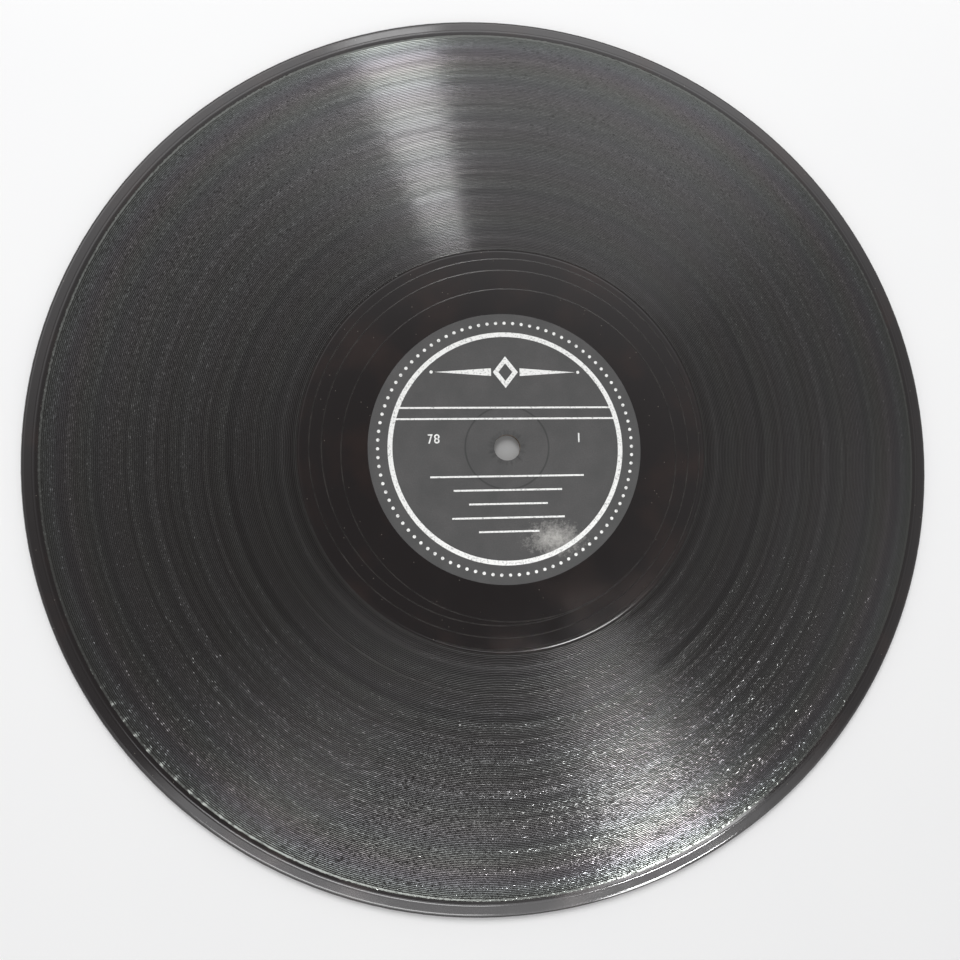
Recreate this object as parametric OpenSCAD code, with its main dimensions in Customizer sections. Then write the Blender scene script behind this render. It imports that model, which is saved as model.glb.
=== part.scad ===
// Ten-inch shellac gramophone record, laminated: core, two paper sheets, two facings, two labels.
// It lies flat with side A up. The origin is the middle of the spindle hole, on the underside.

/* [Disc] */
// Diameter of the disc
disc_d = 250; // [200:1:305]
// Thickness over the smooth lands
disc_t = 2.2; // [1.9:0.1:3]
// Diameter of the spindle hole
hole_d = 7.26; // [6.8:0.02:8]
// Radius of the round on the disc's edge
edge_round = 1; // [0.4:0.1:1.4]

/* [Layers] */
// Thickness of each facing over the smooth lands
facing_t = 0.5; // [0.4:0.05:0.7]
// Thickness of each paper sheet
sheet_t = 0.1; // [0.05:0.01:0.2]
// Width of facing that closes over the edge of the core
edge_wall = 2; // [1:0.1:6]
// Gap round the edge of a piece that lies in a seat
seat_gap = 0.05; // [0:0.01:0.2]

/* [Playing faces] */
// Width of the smooth margin at the edge
margin_w = 3.8; // [2:0.1:8]
// Width of the slope at each side of the playing band
step_w = 0.5; // [0.2:0.1:1]
// Depth of the playing band below the lands
band_drop = 0.06; // [0.02:0.01:0.12]
// Pitch of the lead-out groove, for each turn
leadout_pitch = 3.3; // [2:0.1:5]
// Half turns of the lead-out groove
leadout_half_turns = 5; // [3:1:7]
// How far the lead-out groove starts inside the playing band
leadout_lap = 0.85; // [0:0.05:1.5]
// Width of the lead-out and locked grooves, whose sides stand at 45 degrees
groove_w = 0.3; // [0.15:0.05:0.5]
// Least width of land between the label and the locked groove
lock_land = 6.5; // [3:0.1:10]
// Offset of the locked groove from the spindle hole
lock_offset = 2.1; // [0:0.1:4]
// Direction of that offset, in degrees from +X
lock_angle = 318; // [0:1:360]

/* [Labels] */
// Diameter of the label
label_d = 75.8; // [60:0.1:100]
// Thickness of the label paper
label_t = 0.15; // [0.1:0.01:0.25]
// Depth of the label's face below the lands
label_sink = 0.06; // [0.05:0.01:0.1]
// Diameter of the ring that the press leaves in the label
press_ring_d = 23.2; // [15:0.1:40]
// Width of that ring
press_ring_w = 0.5; // [0.2:0.1:1]
// Depth of that ring
press_ring_depth = 0.05; // [0.02:0.01:0.08]

/* [Print] */
// Thickness of the ink
ink_t = 0.04; // [0.02:0.01:0.05]
// Distance from the label's edge to the printed ring
ring_inset = 5.3; // [3:0.1:8]
// Width of the printed ring
ring_w = 1.3; // [0.5:0.1:2]
// Height of the lower printed rule above the hole's centre
rule_y = 8.1; // [5:0.1:12]
// Distance between the two printed rules
rule_gap = 3.1; // [1:0.1:5]
// Width of a printed rule
rule_w = 0.5; // [0.2:0.05:1]
// Diameter of a bead in the border
bead_d = 0.9; // [0.4:0.1:1.5]
// Spacing of the beads along the border
bead_pitch = 2.4; // [1.6:0.1:5]
// Height of the lozenge in the ornament
lozenge_h = 9; // [4:0.5:11]
// Width of the lozenge in the ornament
lozenge_w = 7; // [4:0.5:11]
// Width of the lozenge's stroke, measured along its height
lozenge_stroke = 2; // [0.5:0.1:2]
// Width of the ornament's bars at their thick ends
bar_w = 2.2; // [1:0.1:4]
// Distance from the printed ring to the ends of the ornament
ornament_margin = 2; // [1:0.1:8]
// Height of a numeral
numeral_h = 2.6; // [1.5:0.1:4]
// Width of a numeral
numeral_w = 1.3; // [1:0.1:2]
// Width of a numeral's stroke
numeral_stroke = 0.4; // [0.2:0.05:0.45]
// Gap between two numerals
numeral_gap = 0.5; // [0.2:0.1:1]
// Distance from the printed ring to the middle of the numerals
numeral_margin = 11; // [5:0.1:12]
// Height of the numerals' middle above the hole's centre
numeral_y = 2.6; // [-4:0.1:4]
// Height of the first writing line below the hole's centre
line_y = 8; // [6:0.1:12]
// Distance from the last writing line to the printed ring below it
line_end_gap = 8; // [4:0.1:10]
// Distance from the printed ring to the ends of a full writing line
line_margin = 9; // [2:0.1:10]
// Width of a writing line
line_w = 0.5; // [0.2:0.05:1]

/* [Hidden] */
$fn = 96;

// Extra length of a cutting shape past the face that it cuts
over = 1;
// Least flat left at each side of the middle of the disc's edge
edge_flat = 0.05;
// Length of each writing line as a part of a full one, from the top down
line_parts = [1, 0.75, 0.6, 1, 0.7];

disc_r = disc_d / 2;
hole_r = hole_d / 2;
mid_z = disc_t / 2;
edge_r = min(edge_round, mid_z - edge_flat);
core_r = disc_r - edge_wall;
core_t = disc_t - 2 * (facing_t + sheet_t);
label_r = label_d / 2;
label_top = disc_t - label_sink;
lock_r = label_r + lock_land + lock_offset;
leadout_r = lock_r + lock_offset + leadout_pitch * leadout_half_turns / 2;
band_in_r = leadout_r - leadout_lap;
margin_r = disc_r - margin_w;
ring_out_r = label_r - ring_inset;
ring_in_r = ring_out_r - ring_w;
border_r = (label_r + ring_out_r) / 2;
bead_count = floor(2 * PI * border_r / bead_pitch);
ornament_y = (rule_y + rule_gap + ring_in_r) / 2;
line_pitch = (ring_in_r - line_end_gap - line_y) / (len(line_parts) - 1);

// Half of the chord across the printed ring at the given height
function half_chord(y) = sqrt(ring_in_r * ring_in_r - y * y);

SHELLAC = "#242120";
COMPOUND = "#4a4038";
KRAFT = "#9a7a52";
LABEL_GREY = "#58585a";
SILVER = "#d9dadb";

// Flat ring of paper or compound round the spindle hole
module washer(r, t) {
    difference() {
        cylinder(r = r, h = t);
        translate([0, 0, -over]) cylinder(r = hole_r, h = t + 2 * over);
    }
}

// Turns a piece of side A over to side B
module other_side() {
    translate([0, 0, disc_t]) rotate([180, 0, 0]) children();
}

// Half section of a facing, from the spindle hole out to its round edge
module facing_section() {
    difference() {
        union() {
            translate([hole_r, mid_z]) square([disc_r - edge_r - hole_r, mid_z]);
            translate([disc_r - edge_r, mid_z]) square([edge_r, mid_z - edge_r]);
            translate([disc_r - edge_r, disc_t - edge_r])
                intersection() {
                    circle(r = edge_r);
                    square(edge_r);
                }
        }
        translate([0, mid_z - over]) square([core_r + seat_gap, mid_z - facing_t + over]);
        translate([0, label_top - label_t]) square([label_r + seat_gap, label_t + label_sink + over]);
        playing_band_section();
    }
}

// Shallow trough that the playing groove fills, with a slope at each side
module playing_band_section() {
    floor_z = disc_t - band_drop;
    polygon([[band_in_r, disc_t + over], [band_in_r, disc_t], [band_in_r + step_w, floor_z],
             [margin_r - step_w, floor_z], [margin_r, disc_t], [margin_r, disc_t + over]]);
}

// Section of a V groove, cut down from the land at the given radius
module groove_section(r) {
    half = groove_w / 2;
    translate([r, disc_t])
        polygon([[-half, 0], [0, -half], [half, 0], [half, over], [-half, over]]);
}

// Spiral from the playing band in to the locked groove, in half circles about two centres in turn
module leadout_groove() {
    swing = leadout_pitch / 4;
    start = lock_angle - 180 * leadout_half_turns;
    for (k = [0 : leadout_half_turns - 1])
        rotate([0, 0, start + 180 * k])
            translate([swing, 0, 0])
                rotate_extrude(angle = 180) groove_section(leadout_r - swing * (1 + 2 * k));
}

// Closed groove, off centre, that holds the needle at the end
module locked_groove() {
    rotate([0, 0, lock_angle])
        translate([lock_offset, 0, 0])
            rotate_extrude() groove_section(lock_r);
}

module facing() {
    color(SHELLAC)
        difference() {
            rotate_extrude() facing_section();
            leadout_groove();
            locked_groove();
        }
}

module core_disc() {
    color(COMPOUND) translate([0, 0, facing_t + sheet_t]) washer(core_r, core_t);
}

module paper_sheet() {
    color(KRAFT) translate([0, 0, disc_t - facing_t - sheet_t]) washer(core_r, sheet_t);
}

module label() {
    press_ring_in_r = (press_ring_d - press_ring_w) / 2;
    color(LABEL_GREY)
        difference() {
            translate([0, 0, label_top - label_t]) washer(label_r, label_t);
            translate([0, 0, label_top - press_ring_depth])
                rotate_extrude()
                    translate([press_ring_in_r, 0]) square([press_ring_w, press_ring_depth + over]);
        }
}

// Printed ring and the two rules that cross it
module ring_and_rules() {
    difference() {
        circle(r = ring_out_r);
        circle(r = ring_in_r);
    }
    intersection() {
        circle(r = ring_in_r + ring_w / 2);
        for (y = [rule_y, rule_y + rule_gap])
            translate([0, y]) square([2 * ring_out_r, rule_w], center = true);
    }
}

// Border of beads between the ring and the label's edge
module beads() {
    for (k = [0 : bead_count - 1])
        rotate(360 * k / bead_count) translate([border_r, 0]) circle(d = bead_d);
}

module lozenge(w, h) {
    polygon([[-w / 2, 0], [0, -h / 2], [w / 2, 0], [0, h / 2]]);
}

// Open lozenge above the rules, with a tapered bar and a bead at each side
module ornament() {
    open = 1 - lozenge_stroke * 2 / lozenge_h;
    bar_start = lozenge_w / 2 + rule_w;
    bead_x = half_chord(ornament_y) - ornament_margin - bead_d / 2;
    translate([0, ornament_y]) {
        difference() {
            lozenge(lozenge_w, lozenge_h);
            lozenge(lozenge_w * open, lozenge_h * open);
        }
        for (side = [-1, 1]) {
            polygon([[side * bar_start, bar_w / 2], [side * (bead_x - bead_d), 0],
                     [side * bar_start, -bar_w / 2]]);
            translate([side * bead_x, 0]) circle(d = bead_d);
        }
    }
}

// Blank lines for writing on, below the hole
module writing_lines() {
    for (k = [0 : len(line_parts) - 1]) {
        y = -line_y - line_pitch * k;
        full = 2 * (half_chord(y) - line_margin);
        translate([0, y]) square([full * line_parts[k], line_w], center = true);
    }
}

// Each numeral is drawn about its own middle
module numeral_1() {
    square([numeral_stroke, numeral_h], center = true);
}

module numeral_2() {
    bowl_r = numeral_w / 2;
    bowl_y = numeral_h / 2 - bowl_r;
    translate([0, bowl_y])
        difference() {
            circle(r = bowl_r);
            circle(r = bowl_r - numeral_stroke);
            translate([-numeral_w, -numeral_w]) square(numeral_w);
        }
    polygon([[-bowl_r, -numeral_h / 2], [numeral_stroke - bowl_r, -numeral_h / 2],
             [bowl_r, bowl_y], [bowl_r - numeral_stroke, bowl_y]]);
    translate([-bowl_r, -numeral_h / 2]) square([numeral_w, numeral_stroke]);
}

module numeral_7() {
    right = numeral_w / 2;
    foot = -numeral_w / 4;
    translate([-right, numeral_h / 2 - numeral_stroke]) square([numeral_w, numeral_stroke]);
    polygon([[right - numeral_stroke, numeral_h / 2], [right, numeral_h / 2],
             [foot + numeral_stroke / 2, -numeral_h / 2], [foot - numeral_stroke / 2, -numeral_h / 2]]);
}

module numeral_8() {
    bowl_r = (numeral_h + numeral_stroke) / 4;
    for (side = [-1, 1])
        translate([0, side * (numeral_h / 2 - bowl_r)])
            difference() {
                circle(r = bowl_r);
                circle(r = bowl_r - numeral_stroke);
            }
}

// Speed at the left of the hole, number of the side at the right
module numerals(side_number) {
    x = half_chord(numeral_y) - numeral_margin;
    step = numeral_w + numeral_gap;
    translate([-x - step / 2, numeral_y]) numeral_7();
    translate([-x + step / 2, numeral_y]) numeral_8();
    translate([x, numeral_y])
        if (side_number == 1) numeral_1();
        else numeral_2();
}

module label_print(side_number) {
    color(SILVER)
        translate([0, 0, label_top])
            linear_extrude(ink_t) {
                ring_and_rules();
                beads();
                ornament();
                writing_lines();
                numerals(side_number);
            }
}

core_disc();
paper_sheet();  // paper_sheet_a
other_side() paper_sheet();  // paper_sheet_b
facing();  // facing_a
other_side() facing();  // facing_b
label();  // label_a
other_side() label();  // label_b
label_print(1);  // label_print_a
other_side() label_print(2);  // label_print_b
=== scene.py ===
"""Looks of a ten-inch shellac record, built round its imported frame.

The disc lies flat with side A up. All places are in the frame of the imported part, whose origin is
the middle of the spindle hole on the underside. Sizes are written in millimetres, and those of the
lamps in metres.
"""

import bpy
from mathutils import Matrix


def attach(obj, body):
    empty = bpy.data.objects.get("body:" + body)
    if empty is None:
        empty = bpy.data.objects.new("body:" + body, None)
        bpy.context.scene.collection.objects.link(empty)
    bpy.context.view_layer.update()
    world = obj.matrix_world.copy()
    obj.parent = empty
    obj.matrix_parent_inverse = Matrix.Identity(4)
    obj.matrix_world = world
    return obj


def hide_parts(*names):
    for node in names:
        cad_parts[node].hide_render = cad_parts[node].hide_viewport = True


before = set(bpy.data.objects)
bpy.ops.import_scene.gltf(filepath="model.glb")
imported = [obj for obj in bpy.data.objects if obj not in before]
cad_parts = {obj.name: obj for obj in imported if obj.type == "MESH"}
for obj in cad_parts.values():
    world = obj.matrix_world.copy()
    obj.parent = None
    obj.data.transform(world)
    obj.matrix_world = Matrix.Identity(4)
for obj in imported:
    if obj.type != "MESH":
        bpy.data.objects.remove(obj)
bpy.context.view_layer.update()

import logging
import math
from dataclasses import dataclass, field
from enum import Enum
from functools import partial
from typing import Any, Callable, Mapping, Sequence

import bpy
from mathutils import Matrix, Vector

LOG = logging.getLogger("shellac_record")
MM = 0.001
BODY = "root"
# Facets of every turned piece round its axis
TURN_STEPS = 160
# Closest that two separate points of a mesh lie, in metres
MERGE = 2e-6
WHITE = (1.0, 1.0, 1.0, 1.0)
# Refractive index of shellac
SHELLAC_IOR = 1.54

Span = tuple[float, float]
Place = tuple[float, float, float]
Points = tuple[Span, ...]
Socket = bpy.types.NodeSocket
Adder = Callable[..., Socket]
# What feeds a node's inputs, by name or number, or in their order
Links = Mapping[Any, Any] | Sequence[Any]


class Side(Enum):
    """The two faces of the disc, by the letter that ends the names of their nodes."""

    A = "a"
    B = "b"


def linear_colour(code: str) -> tuple[float, float, float, float]:
    """Turns an sRGB colour into the linear one that a shader takes.

    Args:
        code: six hex digits, with or without a leading hash.

    Returns:
        Red, green, blue and an alpha of 1.
    """
    digits = code.lstrip("#")
    parts = [int(digits[i:i + 2], 16) / 255 for i in (0, 2, 4)]
    low, high = [p / 12.92 for p in parts], [((p + 0.055) / 1.055) ** 2.4 for p in parts]
    return tuple(l if p <= 0.04045 else h for p, l, h in zip(parts, low, high)) + (1.0,)


def feed(node: bpy.types.Node, links: Links) -> None:
    """Feeds the inputs of a node.

    Args:
        node: node of any kind.
        links: for each input the socket that feeds it, a value, or a colour in hex digits.
    """
    for key, value in links.items() if isinstance(links, Mapping) else enumerate(links):
        if isinstance(value, Socket):
            node.id_data.links.new(value, node.inputs[key])
        else:
            colour = isinstance(value, str)
            node.inputs[key].default_value = linear_colour(value) if colour else value


def add_node(tree: bpy.types.NodeTree, kind: str, links: Links = (), out: int | str = 0,
             **settings: Any) -> Socket:
    """Adds one node with its settings, values and links.

    Args:
        tree: node tree that the node joins.
        kind: Blender's name of the node type, without the ShaderNode in front.
        links: what feeds its inputs, as in feed.
        out: the output that is wanted, by name or number.
        settings: properties of the node.

    Returns:
        The wanted output socket.
    """
    made = tree.nodes.new("ShaderNode" + kind)
    for key, value in settings.items():
        setattr(made, key, value)
    feed(made, links)
    return made.outputs[out]


def deselect_all() -> None:
    """Leaves nothing selected, so that the next operator acts on one piece alone."""
    if bpy.context.object and bpy.context.object.mode != "OBJECT":
        bpy.ops.object.mode_set(mode="OBJECT")
    bpy.ops.object.select_all(action="DESELECT")


def hold(piece: bpy.types.Object) -> None:
    """Selects one piece alone and makes it the active one."""
    deselect_all()
    piece.select_set(True)
    bpy.context.view_layer.objects.active = piece


def draw_section(name: str, points: Sequence[Span], closed: bool) -> bpy.types.Object:
    """Draws a half section in the XZ plane by extruding one point along it, and stays in edit mode.

    Args:
        name: name of the new object.
        points: radius and height of each point, in millimetres.
        closed: whether the last point runs back to the first.

    Returns:
        The new object, with the whole chain in its mesh.
    """
    deselect_all()
    bpy.ops.mesh.primitive_plane_add(size=MM)
    piece = bpy.context.object
    piece.name = piece.data.name = name
    bpy.ops.object.mode_set(mode="EDIT")
    bpy.ops.mesh.select_mode(type="VERT")
    bpy.ops.mesh.merge(type="CENTER")
    here = Vector((0, 0, 0))
    for step, (r, z) in enumerate([*points, *points[:1]] if closed else points):
        there = Vector((r * MM, 0, z * MM))
        if step == 0:
            bpy.ops.transform.translate(value=there - here)
        else:
            bpy.ops.mesh.extrude_vertices_move(TRANSFORM_OT_translate={"value": there - here})
        here = there
    bpy.ops.mesh.select_all(action="SELECT")
    bpy.ops.mesh.remove_doubles(threshold=MERGE)
    return piece


def close_mesh() -> None:
    """Merges doubles in edit mode, turns the faces outwards and leaves edit mode."""
    bpy.ops.mesh.select_all(action="SELECT")
    bpy.ops.mesh.remove_doubles(threshold=MERGE)
    bpy.ops.mesh.normals_make_consistent(inside=False)
    bpy.ops.object.mode_set(mode="OBJECT")


def turn_section(piece: bpy.types.Object, smooth_deg: float) -> None:
    """Spins a piece's section a full turn about the spindle axis and leaves edit mode.

    Args:
        piece: object in edit mode that holds the section.
        smooth_deg: edges sharper than this stay sharp.
    """
    bpy.ops.mesh.select_all(action="SELECT")
    bpy.ops.mesh.spin(steps=TURN_STEPS, angle=math.tau, center=(0, 0, 0), axis=(0, 0, 1))
    close_mesh()
    hold(piece)
    bpy.ops.object.shade_smooth_by_angle(angle=math.radians(smooth_deg))


def cut_away(piece: bpy.types.Object, cutter: bpy.types.Object) -> None:
    """Takes a cutter's shape out of a piece, gives the cut its finish and removes the cutter.

    Args:
        piece: mesh that is cut.
        cutter: closed mesh that says where, with the finish of the cut.
    """
    hold(piece)
    cut = piece.modifiers.new("cut", "BOOLEAN")
    cut.operation, cut.solver, cut.object = "DIFFERENCE", "EXACT", cutter
    cut.material_mode = "TRANSFER"
    bpy.ops.object.modifier_apply(modifier=cut.name)
    bpy.data.objects.remove(cutter, do_unlink=True)


def pick_faces(piece: bpy.types.Object, wanted: Callable[[Vector, Vector], bool]) -> None:
    """Selects the faces whose middle and normal pass a test, and no others, in edit mode.

    Args:
        piece: object in object mode.
        wanted: test of a face's middle and normal.
    """
    hold(piece)
    bpy.ops.object.mode_set(mode="EDIT")
    bpy.ops.mesh.select_mode(type="FACE")
    bpy.ops.mesh.select_all(action="DESELECT")
    bpy.ops.object.mode_set(mode="OBJECT")
    for face in piece.data.polygons:
        face.select = wanted(face.center, face.normal)
    bpy.ops.object.mode_set(mode="EDIT")


def turned_over(piece: bpy.types.Object, name: str, mid_z: float) -> bpy.types.Object:
    """Copies a piece of side A, with its own mesh, and turns the copy over to side B.

    Args:
        piece: finished piece of side A.
        name: name of the copy.
        mid_z: height of the disc's middle plane, in millimetres.

    Returns:
        The copy.
    """
    hold(piece)
    bpy.ops.object.duplicate()
    copy = bpy.context.object
    copy.name = copy.data.name = name
    bpy.ops.object.mode_set(mode="EDIT")
    bpy.ops.mesh.select_all(action="SELECT")
    bpy.ops.transform.rotate(value=math.pi, orient_axis="X", center_override=(0, 0, mid_z * MM))
    bpy.ops.object.mode_set(mode="OBJECT")
    return copy


class Finish:
    """What every finish shares: a new material, its shader and places in millimetres."""

    name: str

    def start(self) -> tuple[bpy.types.Material, Adder, bpy.types.Node, Socket]:
        """Makes an empty material.

        Returns:
            It, what adds a node to it, its principled shader, and the object's coordinates in
            millimetres.
        """
        made = bpy.data.materials.new(self.name)
        made.use_nodes = True
        add = partial(add_node, made.node_tree)
        place = add("TexCoord", out="Object")
        in_mm = add("VectorMath", {0: place, 3: 1 / MM}, operation="SCALE")
        return made, add, made.node_tree.nodes["Principled BSDF"], in_mm

    @staticmethod
    def polar(add: Adder, place: Socket) -> tuple[Socket, Socket, Socket]:
        """Works out where a point lies round the spindle.

        Args:
            add: adds a node to the material.
            place: place in millimetres.

        Returns:
            The place without its height, its distance from the spindle, and the way outward.
        """
        flat = add("VectorMath", (place, (1, 1, 0)), operation="MULTIPLY")
        radius = add("VectorMath", {0: flat}, out="Value", operation="LENGTH")
        outward = add("VectorMath", {0: flat}, operation="NORMALIZE")
        return flat, radius, outward


@dataclass(frozen=True)
class PressedShellac(Finish):
    """Mineral-filled shellac pressed against a polished stamper.

    It is near black with a warm cast and mirrors the room, with fingered patches that are duller,
    hairlines and a little dust.
    """

    name: str = "pressed_shellac"
    colour: str = "#1e1a1a"
    warm_colour: str = "#251c1a"
    dust_colour: str = "#6b665f"
    roughness: Span = (0.07, 0.15)
    # Size of a fingered patch and spacing of dust, in millimetres
    patch: float = 16.0
    dust_gap: float = 2.8
    # Share of its spacing where a dust grain is full and where it ends, and how much it covers
    grain: Span = (0.03, 0.06)
    dust_cover: float = 0.85
    # Spacing of the hairlines in millimetres, their direction in degrees, their width to length
    hairline: float = 0.9
    hairline_deg: float = 24.0
    hairline_share: float = 0.03
    # Depth of a hairline in millimetres, and how much of it shows
    hairline_depth: float = 0.05
    hairline_strength: float = 0.05

    def material(self) -> bpy.types.Material:
        """Builds the material.

        Returns:
            The finished material.
        """
        made, add, shader, place = self.start()
        patch = add("TexNoise", {"Vector": place, "Scale": 1 / self.patch, "Detail": 3.0})
        rough = add("MapRange", (patch, 0.35, 0.7, *self.roughness))
        speck = add("TexVoronoi", {"Vector": place, "Scale": 1 / self.dust_gap}, out="Distance")
        dust = add("MapRange", (speck, *self.grain, self.dust_cover, 0.0))
        warm = add("MapRange", (patch, 0.5, 0.68))
        shade = add("Mix", {0: warm, 6: self.colour, 7: self.warm_colour}, out=2, data_type="RGBA")
        colour = add("Mix", {0: dust, 6: shade, 7: self.dust_colour}, out=2, data_type="RGBA")
        stretch = (1 / self.hairline, self.hairline_share / self.hairline, 1)
        turned = add("Mapping", {"Vector": place, "Scale": stretch,
                                 "Rotation": (0, 0, math.radians(self.hairline_deg))})
        lines = add("TexNoise", {"Vector": turned, "Scale": 1.0, "Detail": 2.0})
        relief = add("Bump", {"Height": lines, "Strength": self.hairline_strength,
                              "Distance": self.hairline_depth * MM})
        feed(shader, {"Base Color": colour, "Roughness": rough, "Normal": relief,
                      "IOR": SHELLAC_IOR})
        return made


@dataclass(frozen=True)
class GroovedShellac(Finish):
    """The same shellac where the playing groove is cut.

    The groove wanders with the sound, so that each turn throws the light in short dashes, more in
    loud passages than in quiet ones. Wear has dulled some rings to a dusty grey. The dashes are
    drawn a few times too long, because the real ones are too fine to show.
    """

    name: str = "grooved_shellac"
    colour: str = "#1d1a1a"
    worn_colour: str = "#31302f"
    roughness: Span = (0.1, 0.2)
    # Radius of the first land, pitch of the groove, length of a dash and width of a passage, in
    # millimetres
    first_land: float = 56.5
    pitch: float = 63.6 / 141
    dash: float = 0.75
    passage: float = 2.2
    # How far apart, in dashes, two turns may lie in the noise that they take their dashes from
    spread: float = 97.0
    # Most lean along and across the groove, in quiet and in loud passages, for the squared noise
    along: Span = (0.2, 1.7)
    across: Span = (0.6, 1.7)
    # The outer turns are the louder ones: share of the lean at the inner radius, and the radius in
    # millimetres where it is full
    inner_share: float = 0.4
    full_r: float = 100.0
    # Share of the lean that the steep walls show, which the needle has worn smooth, and how upright
    # a wall's normal is at most and a land's at least
    wall_share: float = 0.13
    wall_to_land: Span = (0.8, 0.95)
    # Tints of the light that the fine grooves bend: mean, strength inside and outside, and the
    # width of a colour band in millimetres
    tint_mean: float = 0.95
    tint: Span = (0.01, 0.04)
    tint_band: float = 11.0
    # Radius in millimetres where the lead-in starts and the width over which its ripple grows,
    # ripples in a turn, their lean and the sharpness of their crests
    lead_in: float = 119.3
    lead_in_blend: float = 0.3
    ripples: int = 153
    ripple: float = 0.15
    ripple_sharpness: float = 5.0
    # Middle and half length, in degrees, of the stretch that shows the ripple, and where it fades
    ripple_at: Span = (-127.0, 26.0)
    ripple_fade: float = 0.8

    def lead_in_ripple(self, add: Adder, place: Socket, radius: Socket) -> Socket:
        """Works out the lean along the groove that the ripple of the lead-in gives.

        Args:
            add: adds a node to the material.
            place: place in millimetres.
            radius: distance from the spindle in millimetres.

        Returns:
            The lean, which is nothing outside the stretch.
        """
        parts = add("SeparateXYZ", {0: place}).node.outputs
        bearing = add("Math", (parts["Y"], parts["X"]), operation="ARCTAN2")
        turns = add("Math", (bearing, self.ripples), operation="MULTIPLY")
        wave = add("Math", {0: turns}, operation="SINE")
        crest = add("Math", (wave, 0.0), operation="MAXIMUM")
        narrow = add("Math", (crest, self.ripple_sharpness), operation="POWER")
        outermost = add("MapRange", (radius, self.lead_in - self.lead_in_blend, self.lead_in, 0.0,
                                     self.ripple))
        middle, reach = (math.radians(d) for d in self.ripple_at)
        turned = add("Math", (bearing, middle), operation="SUBTRACT")
        away = add("Math", {0: turned}, operation="ABSOLUTE")
        stretch = add("MapRange", (away, reach * self.ripple_fade, reach, 1.0, 0.0))
        ripple = add("Math", (outermost, stretch), operation="MULTIPLY")
        return add("Math", (narrow, ripple), operation="MULTIPLY")

    def dashes(self, add: Adder, flat: Socket, radius: Socket) -> Socket:
        """Works out how the groove's wandering leans its surface.

        Args:
            add: adds a node to the material.
            flat: place without its height, in millimetres.
            radius: distance from the spindle in millimetres.

        Returns:
            A vector of leans that have nothing to do with each other.
        """
        # Number of a point's turn, so that a dash is as wide as one land and one groove
        turn = add("Math", (radius, 1 / self.pitch, 0.25 - self.first_land / self.pitch),
                   operation="MULTIPLY_ADD")
        number = add("Math", {0: turn}, operation="FLOOR")
        # Each turn takes its dashes from a part of the noise of its own, so that no weave shows
        chance = add("TexWhiteNoise", {"W": number}, out="Color", noise_dimensions="1D")
        layer = add("VectorMath", {0: chance, 3: self.spread}, operation="SCALE")
        around = add("VectorMath", {0: flat, 3: 1 / self.dash}, operation="SCALE")
        grain = add("VectorMath", (around, layer), operation="ADD")
        noise = add("TexNoise", {"Vector": grain, "Scale": 1.0, "Detail": 0.0}, out="Color")
        centred = add("VectorMath", (noise, (0.5, 0.5, 0.5)), operation="SUBTRACT")
        # Squared with its sign, so that a few turns lean far and most hardly lean
        amount = add("VectorMath", {0: centred}, operation="ABSOLUTE")
        return add("VectorMath", (centred, amount), operation="MULTIPLY")

    def material(self) -> bpy.types.Material:
        """Builds the material.

        Returns:
            The finished material.
        """
        made, add, shader, place = self.start()
        flat, radius, outward = self.polar(add, place)
        tangent = add("VectorMath", ((0, 0, 1), outward), operation="CROSS_PRODUCT")
        across = add("Math", (radius, 1 / self.passage), operation="MULTIPLY")
        passage = add("TexNoise", {"W": across, "Scale": 1.0, "Detail": 4.0}, noise_dimensions="1D")
        leans = add("SeparateXYZ", {0: self.dashes(add, flat, radius)}).node.outputs
        louder = add("MapRange", (radius, self.first_land, self.full_r, self.inner_share, 1.0))
        facing = add("NewGeometry", out="Normal")
        upright = add("SeparateXYZ", {0: facing}, out="Z")
        flatness = add("Math", {0: upright}, operation="ABSOLUTE")
        level = add("MapRange", (flatness, *self.wall_to_land, self.wall_share, 1.0))
        louder = add("Math", (louder, level), operation="MULTIPLY")
        for (quiet, loud), lean, way in ((self.along, leans["X"], tangent),
                                         (self.across, leans["Y"], outward)):
            most = add("MapRange", (passage, 0.35, 0.65, quiet, loud))
            here = add("Math", (most, louder), operation="MULTIPLY")
            tilt = add("Math", (here, lean), operation="MULTIPLY")
            facing = add("VectorMath", (way, tilt, facing), operation="MULTIPLY_ADD")
        ripple = self.lead_in_ripple(add, place, radius)
        facing = add("VectorMath", (tangent, ripple, facing), operation="MULTIPLY_ADD")
        facing = add("VectorMath", {0: facing}, operation="NORMALIZE")
        colour = add("Mix", {0: passage, 6: self.colour, 7: self.worn_colour}, out=2,
                     data_type="RGBA")
        rough = add("MapRange", (passage, 0.3, 0.7, *self.roughness))
        bands = add("Math", (radius, math.tau / self.tint_band), operation="MULTIPLY")
        phases = add("VectorMath", ((0, math.tau / 3, math.tau * 2 / 3), bands), operation="ADD")
        waves = add("VectorMath", {0: phases}, operation="SINE")
        strength = add("MapRange", (radius, self.full_r, self.lead_in, *self.tint))
        tint = add("VectorMath", (waves, strength, (self.tint_mean,) * 3), operation="MULTIPLY_ADD")
        feed(shader, {"Base Color": colour, "Roughness": rough, "Normal": facing,
                      "Specular Tint": tint, "IOR": SHELLAC_IOR})
        return made


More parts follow.
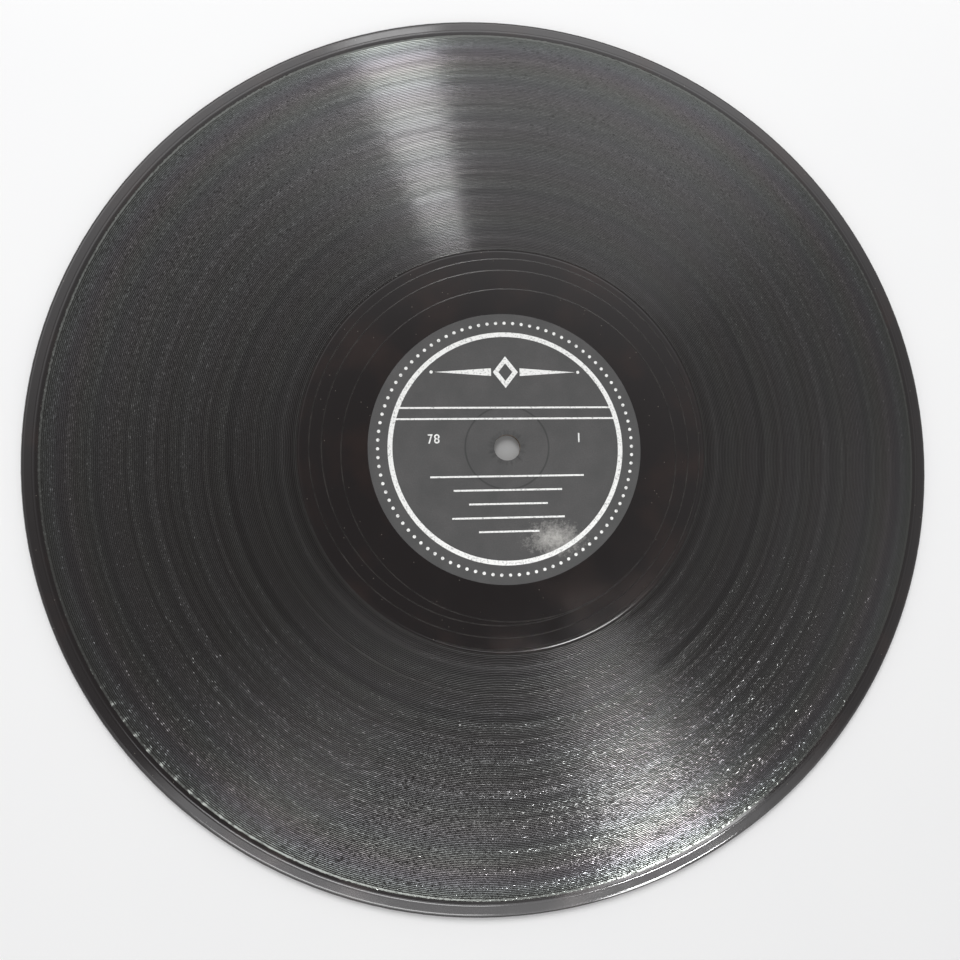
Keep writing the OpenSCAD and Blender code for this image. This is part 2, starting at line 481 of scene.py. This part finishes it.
@dataclass(frozen=True)
class DustyShellac(Finish):
    """Shellac in the wide run-out grooves, where dust has settled: dull and paler than the rest."""

    name: str = "dusty_shellac"
    colour: str = "#272524"
    dust: str = "#3d3a38"
    roughness: float = 0.34
    # Length of a dusty stretch, in millimetres
    stretch: float = 5.0

    def material(self) -> bpy.types.Material:
        """Builds the material.

        Returns:
            The finished material.
        """
        made, add, shader, place = self.start()
        settled = add("TexNoise", {"Vector": place, "Scale": 1 / self.stretch, "Detail": 4.0,
                                   "Roughness": 0.7})
        share = add("MapRange", (settled, 0.4, 0.65))
        colour = add("Mix", {0: share, 6: self.colour, 7: self.dust}, out=2, data_type="RGBA")
        feed(shader, {"Base Color": colour, "IOR": SHELLAC_IOR, "Roughness": self.roughness})
        return made


@dataclass(frozen=True)
class LabelPaper(Finish):
    """Uncoated label paper printed solid dark grey and pressed into the hot shellac.

    It is matte, with a fine fibre, a few creases where the spindle hole was punched and, on a label
    that was handled, a patch where the grey has rubbed off.
    """

    name: str = "solid_printed_paper"
    colour: str = "#4f4f4f"
    pale_fibre: str = "#5a5959"
    rubbed: str = "#c2c0bc"
    # Dark grey painted into the press ring and the creases as painted shade
    painted_shade_colour: str = "#353535"
    roughness: float = 0.62
    specular: float = 0.1
    # Width of a fibre, size of the mottle, in millimetres
    fibre: float = 0.35
    mottle: float = 7.0
    # Radius of the ring that the press leaves, how far to each side its painted shade is full and
    # where
    #     # it ends, and the reach of the creases round the hole, in millimetres
    ring_r: float = 11.6
    ring_shade_reach: Span = (0.12, 0.34)
    creases: Span = (4.6, 7.4)
    # Depth of the relief in millimetres, and the shares in it of fibre and creases
    relief: float = 0.12
    fibre_share: float = 0.35
    crease_share: float = 2.2
    # Place and half axes of the rubbed patch in millimetres; none on a label without a patch
    patch: tuple[float, float, float, float] | None = None
    # Size in millimetres of the tears at its edge, and how far they reach, in half axes
    tear: float = 1.3
    raggedness: float = 2.4

    def rub(self, add: Adder, place: Socket, colour: Socket) -> Socket:
        """Rubs the printed grey off in the patch, if there is one.

        Args:
            add: adds a node to the material.
            place: place in millimetres.
            colour: colour of the sound paper.

        Returns:
            The colour with the patch.
        """
        if not self.patch:
            return colour
        x, y, half_x, half_y = self.patch
        shifted = add("VectorMath", (place, (x, y, 0)), operation="SUBTRACT")
        scaled = add("VectorMath", (shifted, (1 / half_x, 1 / half_y, 0)), operation="MULTIPLY")
        away = add("VectorMath", {0: scaled}, out="Value", operation="LENGTH")
        torn = add("TexNoise", {"Vector": place, "Scale": 1 / self.tear, "Detail": 6.0,
                                "Roughness": 0.85})
        edge = add("Math", (torn, self.raggedness, -self.raggedness / 2), operation="MULTIPLY_ADD")
        reach = add("Math", (away, edge), operation="ADD")
        worn = add("MapRange", (reach, -0.1, 0.95, 0.85, 0.0))
        return add("Mix", {0: worn, 6: colour, 7: self.rubbed}, out=2, data_type="RGBA")

    def material(self) -> bpy.types.Material:
        """Builds the material.

        Returns:
            The finished material.
        """
        made, add, shader, place = self.start()
        fibre = add("TexNoise", {"Vector": place, "Scale": 1 / self.fibre, "Detail": 3.0,
                                 "Roughness": 0.6})
        mottle = add("TexNoise", {"Vector": place, "Scale": 1 / self.mottle, "Detail": 2.0})
        both = add("Math", (fibre, mottle), operation="MULTIPLY")
        pale = add("MapRange", (both, 0.12, 0.42))
        colour = add("Mix", {0: pale, 6: self.colour, 7: self.pale_fibre}, out=2, data_type="RGBA")
        colour = self.rub(add, place, colour)
        _, radius, outward = self.polar(add, place)
        rays = add("TexNoise", {"Vector": outward, "Scale": 5.0, "Detail": 2.0})
        near = add("MapRange", (radius, *self.creases, 1.0, 0.0))
        crease = add("Math", (rays, near), operation="MULTIPLY")
        deep = add("Math", (crease, self.crease_share), operation="MULTIPLY")
        height = add("Math", (fibre, self.fibre_share, deep), operation="MULTIPLY_ADD")
        # Painted shade: the paper is darkened in the press ring's groove and along the creases
        from_ring = add("Math", (radius, self.ring_r), operation="SUBTRACT")
        off_ring = add("Math", {0: from_ring}, operation="ABSOLUTE")
        ring = add("MapRange", (off_ring, *self.ring_shade_reach, 0.55, 0.0))
        folds = add("MapRange", (crease, 0.4, 0.7, 0.0, 0.6))
        painted_shade = add("Math", (ring, folds), operation="MAXIMUM")
        colour = add("Mix", {0: painted_shade, 6: colour, 7: self.painted_shade_colour}, out=2, data_type="RGBA")
        relief = add("Bump", {"Height": height, "Strength": 0.5, "Distance": self.relief * MM})
        feed(shader, {"Base Color": colour, "Normal": relief, "Roughness": self.roughness,
                      "Specular IOR Level": self.specular})
        return made


@dataclass(frozen=True)
class SilverInk(Finish):
    """Silver printing ink on paper: a pale metallic grey that the fibre breaks up."""

    name: str = "silver_printing_ink"
    colour: str = "#e4e4e2"
    thin: str = "#8f8f8f"
    metallic: float = 0.15
    roughness: float = 0.45
    # Size and depth of the gaps that the paper leaves in the ink, in millimetres
    gap: float = 0.5
    gap_depth: float = 0.05

    def material(self) -> bpy.types.Material:
        """Builds the material.

        Returns:
            The finished material.
        """
        made, add, shader, place = self.start()
        break_up = add("TexNoise", {"Vector": place, "Scale": 1 / self.gap, "Detail": 3.0})
        worn = add("MapRange", (break_up, 0.52, 0.72, 0.0, 0.8))
        colour = add("Mix", {0: worn, 6: self.colour, 7: self.thin}, out=2, data_type="RGBA")
        relief = add("Bump", {"Height": break_up, "Strength": 0.3, "Distance": self.gap_depth * MM})
        feed(shader, {"Base Color": colour, "Normal": relief, "Metallic": self.metallic,
                      "Roughness": self.roughness})
        return made


@dataclass(frozen=True)
class RawStock(Finish):
    """Inner stock of the disc, which shows only in the bore: kraft paper or filled compound.

    Both are matte and uneven; paper shows its fibre, compound shows its grit.
    """

    name: str
    colour: str
    speck: str
    # Size of the fibre or grit, in millimetres
    grain: float
    # Depth of its relief, in millimetres
    relief: float = 0.1
    roughness: float = 0.8

    def material(self) -> bpy.types.Material:
        """Builds the material.

        Returns:
            The finished material.
        """
        made, add, shader, place = self.start()
        grain = add("TexNoise", {"Vector": place, "Scale": 1 / self.grain, "Detail": 4.0,
                                 "Roughness": 0.65})
        share = add("MapRange", (grain, 0.4, 0.65))
        colour = add("Mix", {0: share, 6: self.colour, 7: self.speck}, out=2, data_type="RGBA")
        relief = add("Bump", {"Height": grain, "Strength": 0.4, "Distance": self.relief * MM})
        feed(shader, {"Base Color": colour, "Normal": relief, "Roughness": self.roughness})
        return made


@dataclass(frozen=True)
class BackdropPaper(Finish):
    """Seamless white backdrop paper: matte, with a hardly visible mottle.

    Under the disc it is painted grey as a painted shadow, so that the spindle hole shows grey, as
    over a shaded backdrop, and far out it runs into the white of the background.
    """

    name: str = "backdrop_paper"
    colour: str = "#f8f8f8"
    mottle_colour: str = "#f5f5f6"
    roughness: float = 0.9
    specular: float = 0.05
    # Size of the mottle, in millimetres
    mottle: float = 60.0
    # Grey painted under the disc as a painted shadow, which shows through the spindle hole
    shadow_under_disc: str = "#a7a7a7"
    # Where the painted shadow under the disc ends, in millimetres
    shadow_under_r: float = 60.0
    # Where the floor starts to run into the background and where it has done so, in millimetres
    fade: Span = (420.0, 1300.0)

    def material(self) -> bpy.types.Material:
        """Builds the material.

        Returns:
            The finished material.
        """
        made, add, shader, place = self.start()
        mottle = add("TexNoise", {"Vector": place, "Scale": 1 / self.mottle})
        colour = add("Mix", {0: mottle, 6: self.colour, 7: self.mottle_colour}, out=2,
                     data_type="RGBA")
        radius = add("VectorMath", {0: place}, out="Value", operation="LENGTH")
        # Painted shadow: the floor is painted grey under the disc, where the disc would shade it
        painted_shadow = add("Math", (radius, self.shadow_under_r), operation="LESS_THAN")
        colour = add("Mix", {0: painted_shadow, 6: colour, 7: self.shadow_under_disc}, out=2, data_type="RGBA")
        feed(shader, {"Base Color": colour, "Roughness": self.roughness,
                      "Specular IOR Level": self.specular})
        far = add("MapRange", (radius, *self.fade), interpolation_type="SMOOTHSTEP")
        path = add("LightPath").node.outputs
        seen = path["Is Camera Ray"]
        for kind in ("Is Glossy Ray", "Is Transmission Ray"):
            seen = add("Math", (seen, path[kind]), operation="MAXIMUM")
        share = add("Math", (far, seen), operation="MULTIPLY")
        white = add("Emission", {"Color": WHITE, "Strength": 1.0})
        both = add("MixShader", (share, shader.outputs[0], white))
        feed(made.node_tree.nodes["Material Output"], {"Surface": both})
        return made


@dataclass
class Facing:
    """One shellac facing: label seat, run-out with its grooves, playing band, margin and edge."""

    disc_t: float = 2.2
    disc_r: float = 125.0
    hole_r: float = 3.63
    facing_t: float = 0.5
    core_r: float = 123.05
    # Seat of the label, with the chamfer of its lip and the end of the flat beside that
    seat_r: float = 37.95
    seat_z: float = 1.99
    seat_lip: Span = (0.03, 0.2)
    # Playing band, with the slope at each side of its floor
    band: Span = (56.0, 121.2)
    step_w: float = 0.5
    floor_z: float = 2.14
    # Points of the run-out's rounded edge, from the band's inner edge and the land
    inner_step: Points = ((-0.25, 0.0), (-0.1, 0.0), (0.0, -0.006))
    # Points of the margin's rounded edge and the fine line beside it, from the band's outer edge
    # and the land
    outer_step: Points = ((-0.3, -0.052), (0.1, -0.014), (0.3, -0.003), (0.42, 0.0), (0.55, 0.0),
                          (0.75, -0.022), (0.93, 0.0), (1.05, 0.0))
    # Width and height of the disc's round edge, the flat before it, and its points in degrees
    edge_round: Span = (1.1, 1.0)
    edge_flat: float = 0.15
    edge_degs: tuple[float, ...] = (0, 4, 9, 16, 26, 38, 52, 66, 78, 90)
    # Turns of the playing groove, which are drawn coarser than the real ones so that they show, and
    # how far their lands lie below the disc's own
    groove_count: int = 141
    crest_drop: float = 0.01
    # Share of the pitch that the land between two grooves takes, and the slope of its crown, inside
    # and outside
    land_share: float = 0.5
    crown_deg: Span = (8.5, 5.0)
    # Waves, as steps and starts, that make neighbouring turns differ, and their share of a land
    sound: Points = ((0.37, 0.0), (1.13, 1.0), (2.71, 2.0))
    sound_share: float = 0.05
    # Width of the lead-in, and its points as shares of that width and drops
    lead_in_w: float = 0.6
    lead_in_slope: Points = ((0.35, 0.03), (0.75, 0.07))
    # Locked groove, off centre, and the lead-out groove that runs into it
    groove_w: float = 0.3
    lock_r: float = 46.5
    lock_offset: float = 2.1
    lock_deg: float = 318.0
    leadout_r: float = 56.85
    leadout_pitch: float = 3.3
    half_turns: int = 5
    # Land between the playing band and the start of the lead-out groove, and degrees to a facet
    leadout_gap: float = 0.12
    leadout_step_deg: float = 3.0
    # Edges sharper than this stay sharp, on the blank and on the playing band
    blank_smooth_deg: float = 30.0
    band_smooth_deg: float = 25.0
    land: PressedShellac = field(default_factory=PressedShellac)
    groove: GroovedShellac = field(default_factory=GroovedShellac)
    run_out: DustyShellac = field(default_factory=DustyShellac)

    def build(self) -> bpy.types.Object:
        """Models the facing of side A.

        Returns:
            The finished piece, dressed in its three finishes.
        """
        piece = draw_section("facing_shellac_a", self.blank_section(), closed=True)
        turn_section(piece, self.blank_smooth_deg)
        piece.data.materials.append(self.land.material())
        dusty = self.run_out.material()
        for cutter in (self.leadout_cutter(), self.locked_cutter()):
            cutter.data.materials.append(dusty)
            cut_away(piece, cutter)
        band = draw_section("playing_band", self.band_section(), closed=False)
        turn_section(band, self.band_smooth_deg)
        band.data.materials.append(self.groove.material())
        # The grooves take the place of the band's flat floor
        inner, outer = self.band[0] + self.step_w, self.band[1] - self.step_w
        pick_faces(piece, lambda at, up: up.z > 0.9 and inner < at.xy.length / MM < outer
                   and abs(at.z / MM - self.floor_z) < 0.01)
        bpy.ops.mesh.delete(type="FACE")
        hold(piece)
        band.select_set(True)
        bpy.ops.object.join()
        bpy.ops.object.mode_set(mode="EDIT")
        close_mesh()
        return piece

    def blank_section(self) -> list[Span]:
        """Half section before the grooves are cut, from the bore to the edge and back inside."""
        top, under, mid = self.disc_t, self.disc_t - self.facing_t, self.disc_t / 2
        (band_in, band_out), (wide, high) = self.band, self.edge_round
        chamfer, flat_end = self.seat_lip
        edge = [(self.disc_r - wide * (1 - math.sin(a)), top - high * (1 - math.cos(a)))
                for a in map(math.radians, self.edge_degs)]
        return [(self.hole_r, under), (self.hole_r, self.seat_z), (self.seat_r, self.seat_z),
                (self.seat_r, top - chamfer), (self.seat_r + chamfer, top),
                (self.seat_r + flat_end, top),
                *((band_in + r, top + z) for r, z in self.inner_step),
                (band_in + self.step_w, self.floor_z), (band_out - self.step_w, self.floor_z),
                *((band_out + r, top + z) for r, z in self.outer_step),
                (self.disc_r - wide - self.edge_flat, top), *edge,
                (self.disc_r, mid), (self.core_r, mid), (self.core_r, under)]

    def band_section(self) -> list[Span]:
        """Half section of the playing band: a V and a slightly crowned land for each turn."""
        inner, outer = self.band[0] + self.step_w, self.band[1] - self.step_w
        lead = outer - self.lead_in_w
        pitch = (lead - inner) / self.groove_count
        crest = self.disc_t - self.crest_drop
        points = [(inner, self.floor_z)]
        for k in range(self.groove_count):
            # Passages differ in loudness, so neighbouring turns differ a little in width
            loud = sum(math.sin(step * k + start) for step, start in self.sound)
            half = pitch * (1 - self.land_share * (1 - self.sound_share * loud)) / 2
            r, far = inner + pitch * (k + 0.5), k / self.groove_count
            crown = self.crown_deg[0] * (1 - far) + self.crown_deg[1] * far
            shoulder = crest - pitch * self.land_share / 2 * math.tan(math.radians(crown))
            points += [(r - half, shoulder), (r, shoulder - half), (r + half, shoulder),
                       (inner + pitch * (k + 1), crest)]
        for share, drop in self.lead_in_slope:
            points.append((lead + self.lead_in_w * share, crest - drop))
        return points + [(outer, self.floor_z)]

    def leadout_cutter(self) -> bpy.types.Object:
        """Sweeps the lead-out groove, in half circles about two centres, in to the locked groove.

        Returns:
            The closed cutter.
        """
        swing, half = self.leadout_pitch / 4, self.groove_w / 2
        start_r, arc_r = self.band[0] - half - self.leadout_gap, self.leadout_r - swing
        # The first half circle starts late, where it has left the playing band
        skip = math.acos((start_r ** 2 - swing ** 2 - arc_r ** 2) / (2 * swing * arc_r))
        first = math.radians(self.lock_deg) - math.pi * self.half_turns
        centre = Vector((math.cos(first), math.sin(first), 0)) * swing * MM
        angle = first + skip
        at = centre + Vector((math.cos(angle), math.sin(angle), 0)) * arc_r * MM
        deselect_all()
        bpy.ops.mesh.primitive_circle_add(vertices=4, radius=half * MM, fill_type="NGON",
                                          location=(at.x, at.y, self.disc_t * MM),
                                          rotation=(math.pi / 2, 0, angle))
        cutter = bpy.context.object
        cutter.name = "leadout_cutter"
        bpy.ops.object.transform_apply(location=True, rotation=True, scale=True)
        bpy.ops.object.mode_set(mode="EDIT")
        bpy.ops.mesh.select_all(action="SELECT")
        for k in range(self.half_turns):
            sweep = math.pi - (skip if k == 0 else 0)
            # A positive angle would turn clockwise, seen from above
            bpy.ops.mesh.spin(steps=round(math.degrees(sweep) / self.leadout_step_deg),
                              angle=-sweep, center=centre * (-1) ** k, axis=(0, 0, 1))
        close_mesh()
        return cutter

    def locked_cutter(self) -> bpy.types.Object:
        """Makes a ring of square section, on its corner, for the off-centre locked groove.

        Returns:
            The closed cutter.
        """
        deselect_all()
        turn = math.radians(self.lock_deg)
        bpy.ops.mesh.primitive_torus_add(
            major_segments=TURN_STEPS, minor_segments=4, major_radius=self.lock_r * MM,
            minor_radius=self.groove_w / 2 * MM, rotation=(0, 0, turn),
            location=(self.lock_offset * math.cos(turn) * MM,
                      self.lock_offset * math.sin(turn) * MM, self.disc_t * MM))
        bpy.ops.object.transform_apply(location=True, rotation=True, scale=True)
        return bpy.context.object


@dataclass
class Label:
    """One paper label: hole with its pressed lip, the press's ring and a soft outer edge."""

    hole_r: float = 3.63
    label_r: float = 37.9
    bottom_z: float = 1.99
    top_z: float = 2.14
    # Ring that the press leaves, and the share of its width that is flat at the bottom
    press_ring_r: float = 11.6
    press_ring_w: float = 0.5
    press_ring_depth: float = 0.05
    press_ring_flat: float = 0.35
    # Points of the lip, from the hole and the face, and of the soft edge, from there and the face
    lip: Points = ((0.0, -0.05), (0.12, -0.02), (0.45, -0.004), (0.9, 0.0))
    soft_edge: Points = ((-0.35, 0.0), (-0.1, -0.015), (0.0, -0.05))
    # Edges sharper than this stay sharp
    smooth_deg: float = 50.0

    def section(self) -> list[Span]:
        """Half section of the label, from the hole's lip out to the edge and back underneath."""
        top, ring, half = self.top_z, self.press_ring_r, self.press_ring_w / 2
        low, flat = top - self.press_ring_depth, half * self.press_ring_flat
        return [(self.hole_r, self.bottom_z),
                *((self.hole_r + r, top + z) for r, z in self.lip),
                (ring - half, top), (ring - flat, low), (ring + flat, low), (ring + half, top),
                *((self.label_r + r, top + z) for r, z in self.soft_edge),
                (self.label_r, self.bottom_z)]

    def build(self, finish: LabelPaper) -> bpy.types.Object:
        """Models the label of side A.

        Args:
            finish: paper that it is cut from.

        Returns:
            The finished piece.
        """
        piece = draw_section("label_paper_a", self.section(), closed=True)
        turn_section(piece, self.smooth_deg)
        piece.data.materials.append(finish.material())
        return piece


@dataclass(frozen=True)
class Lamp:
    """A rectangular lamp that faces the disc and lights either what is glossy or what is matte."""

    name: str
    # Its middle, and its width and length, in metres
    at: Place
    size: Span
    # Brightness of its face, where 1 is white
    radiance: float
    # Direction of its length
    along: Place
    matte: bool = False

    def hang(self) -> None:
        """Adds the lamp to the scene."""
        deselect_all()
        bpy.ops.object.light_add(type="AREA")
        lamp = bpy.context.object
        lamp.name = self.name
        back = Vector(self.at).normalized()
        length = (Vector(self.along) - back * Vector(self.along).dot(back)).normalized()
        turn = Matrix((length.cross(back), length, back)).transposed().to_4x4()
        lamp.matrix_world = Matrix.Translation(self.at) @ turn
        lamp.data.shape = "RECTANGLE"
        lamp.data.size, lamp.data.size_y = self.size
        lamp.data.energy = self.radiance * math.pi * self.size[0] * self.size[1]
        lamp.visible_camera = False
        lamp.visible_diffuse, lamp.visible_glossy = self.matte, not self.matte


@dataclass(frozen=True)
class Panel:
    """A bright part of the room that the shellac mirrors.

    Each of its ramps names a measure of direction, where the panel starts and where it is full.
    """

    brightness: float
    ramps: tuple[tuple[str, float, float], ...]


@dataclass
class Studio:
    """White sweep, room, lamps and the camera at the photograph's place."""

    # Camera in millimetres from the middle of the upper face, point that it looks at, and roll in
    # degrees
    camera: Place = (-23.19, -34.86, 251.77)
    aim: Span = (17.40, -9.36)
    roll_deg: float = -1.86
    lens: float = 34.42
    sensor: float = 36.0
    shift_x: float = -0.0941
    # Nearest that the camera sees, in metres
    clip_start: float = 0.01
    face_z: float = 2.2
    # Half section of the floor, whose far edge curves up
    sweep: Points = ((0, 0), (600, 0), (1800, 0), (2150, 25), (2350, 60), (2460, 85), (2500, 110))
    # Edges sharper than this would stay sharp
    sweep_smooth_deg: float = 180.0
    # Brightness of the room, where 1 is white: even light on what is matte; and as the shellac
    # mirrors it, overhead, what the walls add, and the share that is left at their foot
    even: float = 0.6
    ceiling: float = 0.18
    sides: float = 0.6
    foot: float = 0.4
    # Tint of what the shellac mirrors
    room_tint: tuple[float, float, float, float] = (0.985, 0.985, 1, 1)
    # Least height of a direction that a slope is worked out for
    least_rise: float = 0.02
    # Slope to the side of the card's middle, and the bearings of the windows and of the far wall
    card_aside: float = -0.03
    windows_way: Place = (0.035, -0.999, 0)
    far_way: Place = (-0.174, 0.985, 0)
    card: Panel = Panel(2.35, (("slope", -0.18, -0.215), ("slope", -1.6, -0.9),
                               ("off_line", 0.56, 0.26)))
    windows: Panel = Panel(2.0, (("rise", 0.12, 0.5), ("rise", 0.8, 0.68), ("ahead", 0.38, 0.84)))
    far_wall: Panel = Panel(2.7, (("low", 0.23, 0.8), ("rise", 0.3, 0.7), ("beyond", 0.2, 1.0)))
    # All lamps but the last only glint in the shellac, and the box lights what is matte
    lamps: tuple[Lamp, ...] = (
        Lamp("low_lamp", (0.34, -0.83, 0.485), (0.178, 0.28), 33.0, (-0.2, 0.5, 0.85)),
        Lamp("mid_lamp", (0.225, -0.22, 0.97), (0.15, 0.10), 18.0, (0.35, -0.93, 0)),
        Lamp("key_lamp", (0.31, -0.50, 0.839), (0.16, 0.09), 160.0, (-0.3, 0.7, 0.6)),
        Lamp("side_lamp", (-0.183, -0.54, 0.82), (0.45, 0.28), 9.0, (0.2, 0.7, 0.6)),
        Lamp("high_lamp", (-0.061, 0.64, 0.855), (0.12, 0.06), 5.0, (0, -0.85, 0.52)),
        Lamp("soft_box", (-0.15, 0.9, 1.1), (0.7, 0.7), 7.0, (1, 0, 0), matte=True))

    def set_camera(self) -> None:
        """Makes the scene's camera."""
        deselect_all()
        eye = Vector(self.camera)
        ahead = (Vector((*self.aim, 0)) - eye).normalized()
        level = ahead.cross(Vector((0, 1, 0))).normalized()
        upward = level.cross(ahead)
        roll = math.radians(self.roll_deg)
        right = level * math.cos(roll) + upward * math.sin(roll)
        up = right.cross(ahead)
        bpy.ops.object.camera_add()
        camera = bpy.context.object
        turn = Matrix((right, up, -ahead)).transposed().to_4x4()
        camera.matrix_world = Matrix.Translation((eye + Vector((0, 0, self.face_z))) * MM) @ turn
        camera.data.lens, camera.data.sensor_width = self.lens, self.sensor
        camera.data.shift_x = self.shift_x
        camera.data.clip_start = self.clip_start
        bpy.context.scene.camera = camera

    def lay_floor(self) -> None:
        """Lays the white sweep: a floor whose far edge curves up all round."""
        floor = draw_section("white_sweep", self.sweep, closed=False)
        turn_section(floor, self.sweep_smooth_deg)
        floor.data.materials.append(BackdropPaper().material())

    def directions(self, add: Adder) -> dict[str, Socket]:
        """Works out the measures of direction that the room's brightness depends on.

        Args:
            add: adds a node to the world.

        Returns:
            For each direction its rise, its slopes along and beside the card, its lowness, and how
            far it points to the windows and to the far wall.
        """
        way = add("TexCoord", out="Generated")
        parts = add("SeparateXYZ", {0: way}).node.outputs
        height = add("Math", (parts["Z"], self.least_rise), operation="MAXIMUM")
        slope = add("Math", (parts["Y"], height), operation="DIVIDE")
        sideways = add("Math", (parts["X"], height), operation="DIVIDE")
        aside = add("Math", (sideways, self.card_aside), operation="SUBTRACT")
        off_line = add("Math", {0: aside}, operation="ABSOLUTE")
        level = add("VectorMath", (way, (1, 1, 0)), operation="MULTIPLY")
        bearing = add("VectorMath", {0: level}, operation="NORMALIZE")
        ahead, beyond = (add("VectorMath", (bearing, at), out="Value", operation="DOT_PRODUCT")
                         for at in (self.windows_way, self.far_way))
        spread = add("VectorMath", {0: level}, out="Value", operation="LENGTH")
        low = add("Math", (spread, height), operation="DIVIDE")
        return {"rise": parts["Z"], "slope": slope, "off_line": off_line, "low": low,
                "ahead": ahead, "beyond": beyond}

    def room_glow(self, add: Adder) -> Socket:
        """Works out how bright the room looks each way: dim above, paler walls and bright panels.

        Args:
            add: adds a node to the world.

        Returns:
            The brightness, where 1 is white.
        """
        measures = self.directions(add)
        walls = add("MapRange", (measures["low"], 0.15, 0.7, self.ceiling,
                                 self.ceiling + self.sides))
        dusk = add("MapRange", (measures["rise"], 0.1, 0.5, self.foot, 1.0))
        glow = add("Math", (walls, dusk), operation="MULTIPLY")
        for panel in (self.card, self.windows, self.far_wall):
            shine: Socket | float = panel.brightness
            for measure, nothing, full in panel.ramps:
                ramp = add("MapRange", (measures[measure], nothing, full),
                           interpolation_type="SMOOTHSTEP")
                shine = add("Math", (ramp, shine), operation="MULTIPLY")
            glow = add("Math", (shine, glow), operation="ADD")
        return glow

    def light(self) -> None:
        """Sets the room and its lamps.

        Polished shellac mirrors the room by direction, matte paper and floor get its even light,
        and the camera sees white.
        """
        world = bpy.data.worlds.new("room")
        bpy.context.scene.world = world
        world.use_nodes = True
        tree = world.node_tree
        add = partial(add_node, tree)
        even = tree.nodes["Background"]
        feed(even, {"Color": WHITE, "Strength": self.even})
        mirrored = add("Background", {"Color": self.room_tint, "Strength": self.room_glow(add)})
        white = add("Background", {"Color": WHITE, "Strength": 1.0})
        path = add("LightPath").node.outputs
        room = add("MixShader", (path["Is Glossy Ray"], even.outputs[0], mirrored))
        seen = add("MixShader", (path["Is Camera Ray"], room, white))
        feed(tree.nodes["World Output"], {"Surface": seen})
        for lamp in self.lamps:
            lamp.hang()

    def build(self) -> None:
        """Sets up floor, lamps and camera."""
        self.lay_floor()
        self.light()
        self.set_camera()


@dataclass
class Record:
    """The whole disc: two facings, two labels, and the inner stock and print of the frame."""

    facing: Facing = field(default_factory=Facing)
    label: Label = field(default_factory=Label)
    mid_z: float = 1.1
    # Place and half axes of the rubbed patch on the upper label
    rubbed_patch: tuple[float, float, float, float] = (12.5, -25.5, 9.0, 5.5)

    def place(self, piece: bpy.types.Object, node: str, slot: str) -> None:
        """Lets a finished piece ride on the frame in place of a node.

        Args:
            piece: finished piece.
            node: node of the frame that it stands for.
            slot: not used.
        """
        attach(piece, BODY)
        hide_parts(node)
        LOG.info("%s: %d faces in place of %s", piece.name, len(piece.data.polygons), node)

    def build_facings(self) -> None:
        """Models both shellac facings."""
        upper = self.facing.build()
        lower = turned_over(upper, "facing_shellac_b", self.mid_z)
        self.place(upper, "facing_a", "shellac")
        self.place(lower, "facing_b", "shellac")

    def build_labels(self) -> None:
        """Models both labels; the upper one has a rubbed patch, as in the photograph."""
        upper = self.label.build(LabelPaper("rubbed_printed_paper", patch=self.rubbed_patch))
        lower = turned_over(upper, "label_paper_b", self.mid_z)
        lower.data.materials[0] = LabelPaper().material()
        self.place(upper, "label_a", "label_paper")
        self.place(lower, "label_b", "label_paper")

    def dress_nodes(self) -> None:
        """Gives the nodes that stay as they are their finishes."""
        ink = SilverInk().material()
        kraft = RawStock("soaked_kraft_paper", "#8a6a42", "#a98a5e", grain=0.25).material()
        compound = RawStock("filled_compound", "#473d35", "#6d5f52", grain=0.15).material()
        for node, finish in [("core_disc", compound)] + [
                (f"{stem}_{side.value}", material) for side in Side
                for stem, material in (("paper_sheet", kraft), ("label_print", ink))]:
            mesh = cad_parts[node].data
            mesh.materials.clear()
            mesh.materials.append(finish)
            LOG.info("%s: dressed in %s", node, finish.name)

    def build(self) -> None:
        """Builds and dresses every piece."""
        self.build_facings()
        self.build_labels()
        self.dress_nodes()


def main() -> None:
    """Builds the record and its studio."""
    logging.basicConfig(level=logging.INFO, format="%(message)s")
    Record().build()
    Studio().build()
    bpy.context.scene.view_settings.view_transform = "Standard"


if __name__ == "__main__":
    main()
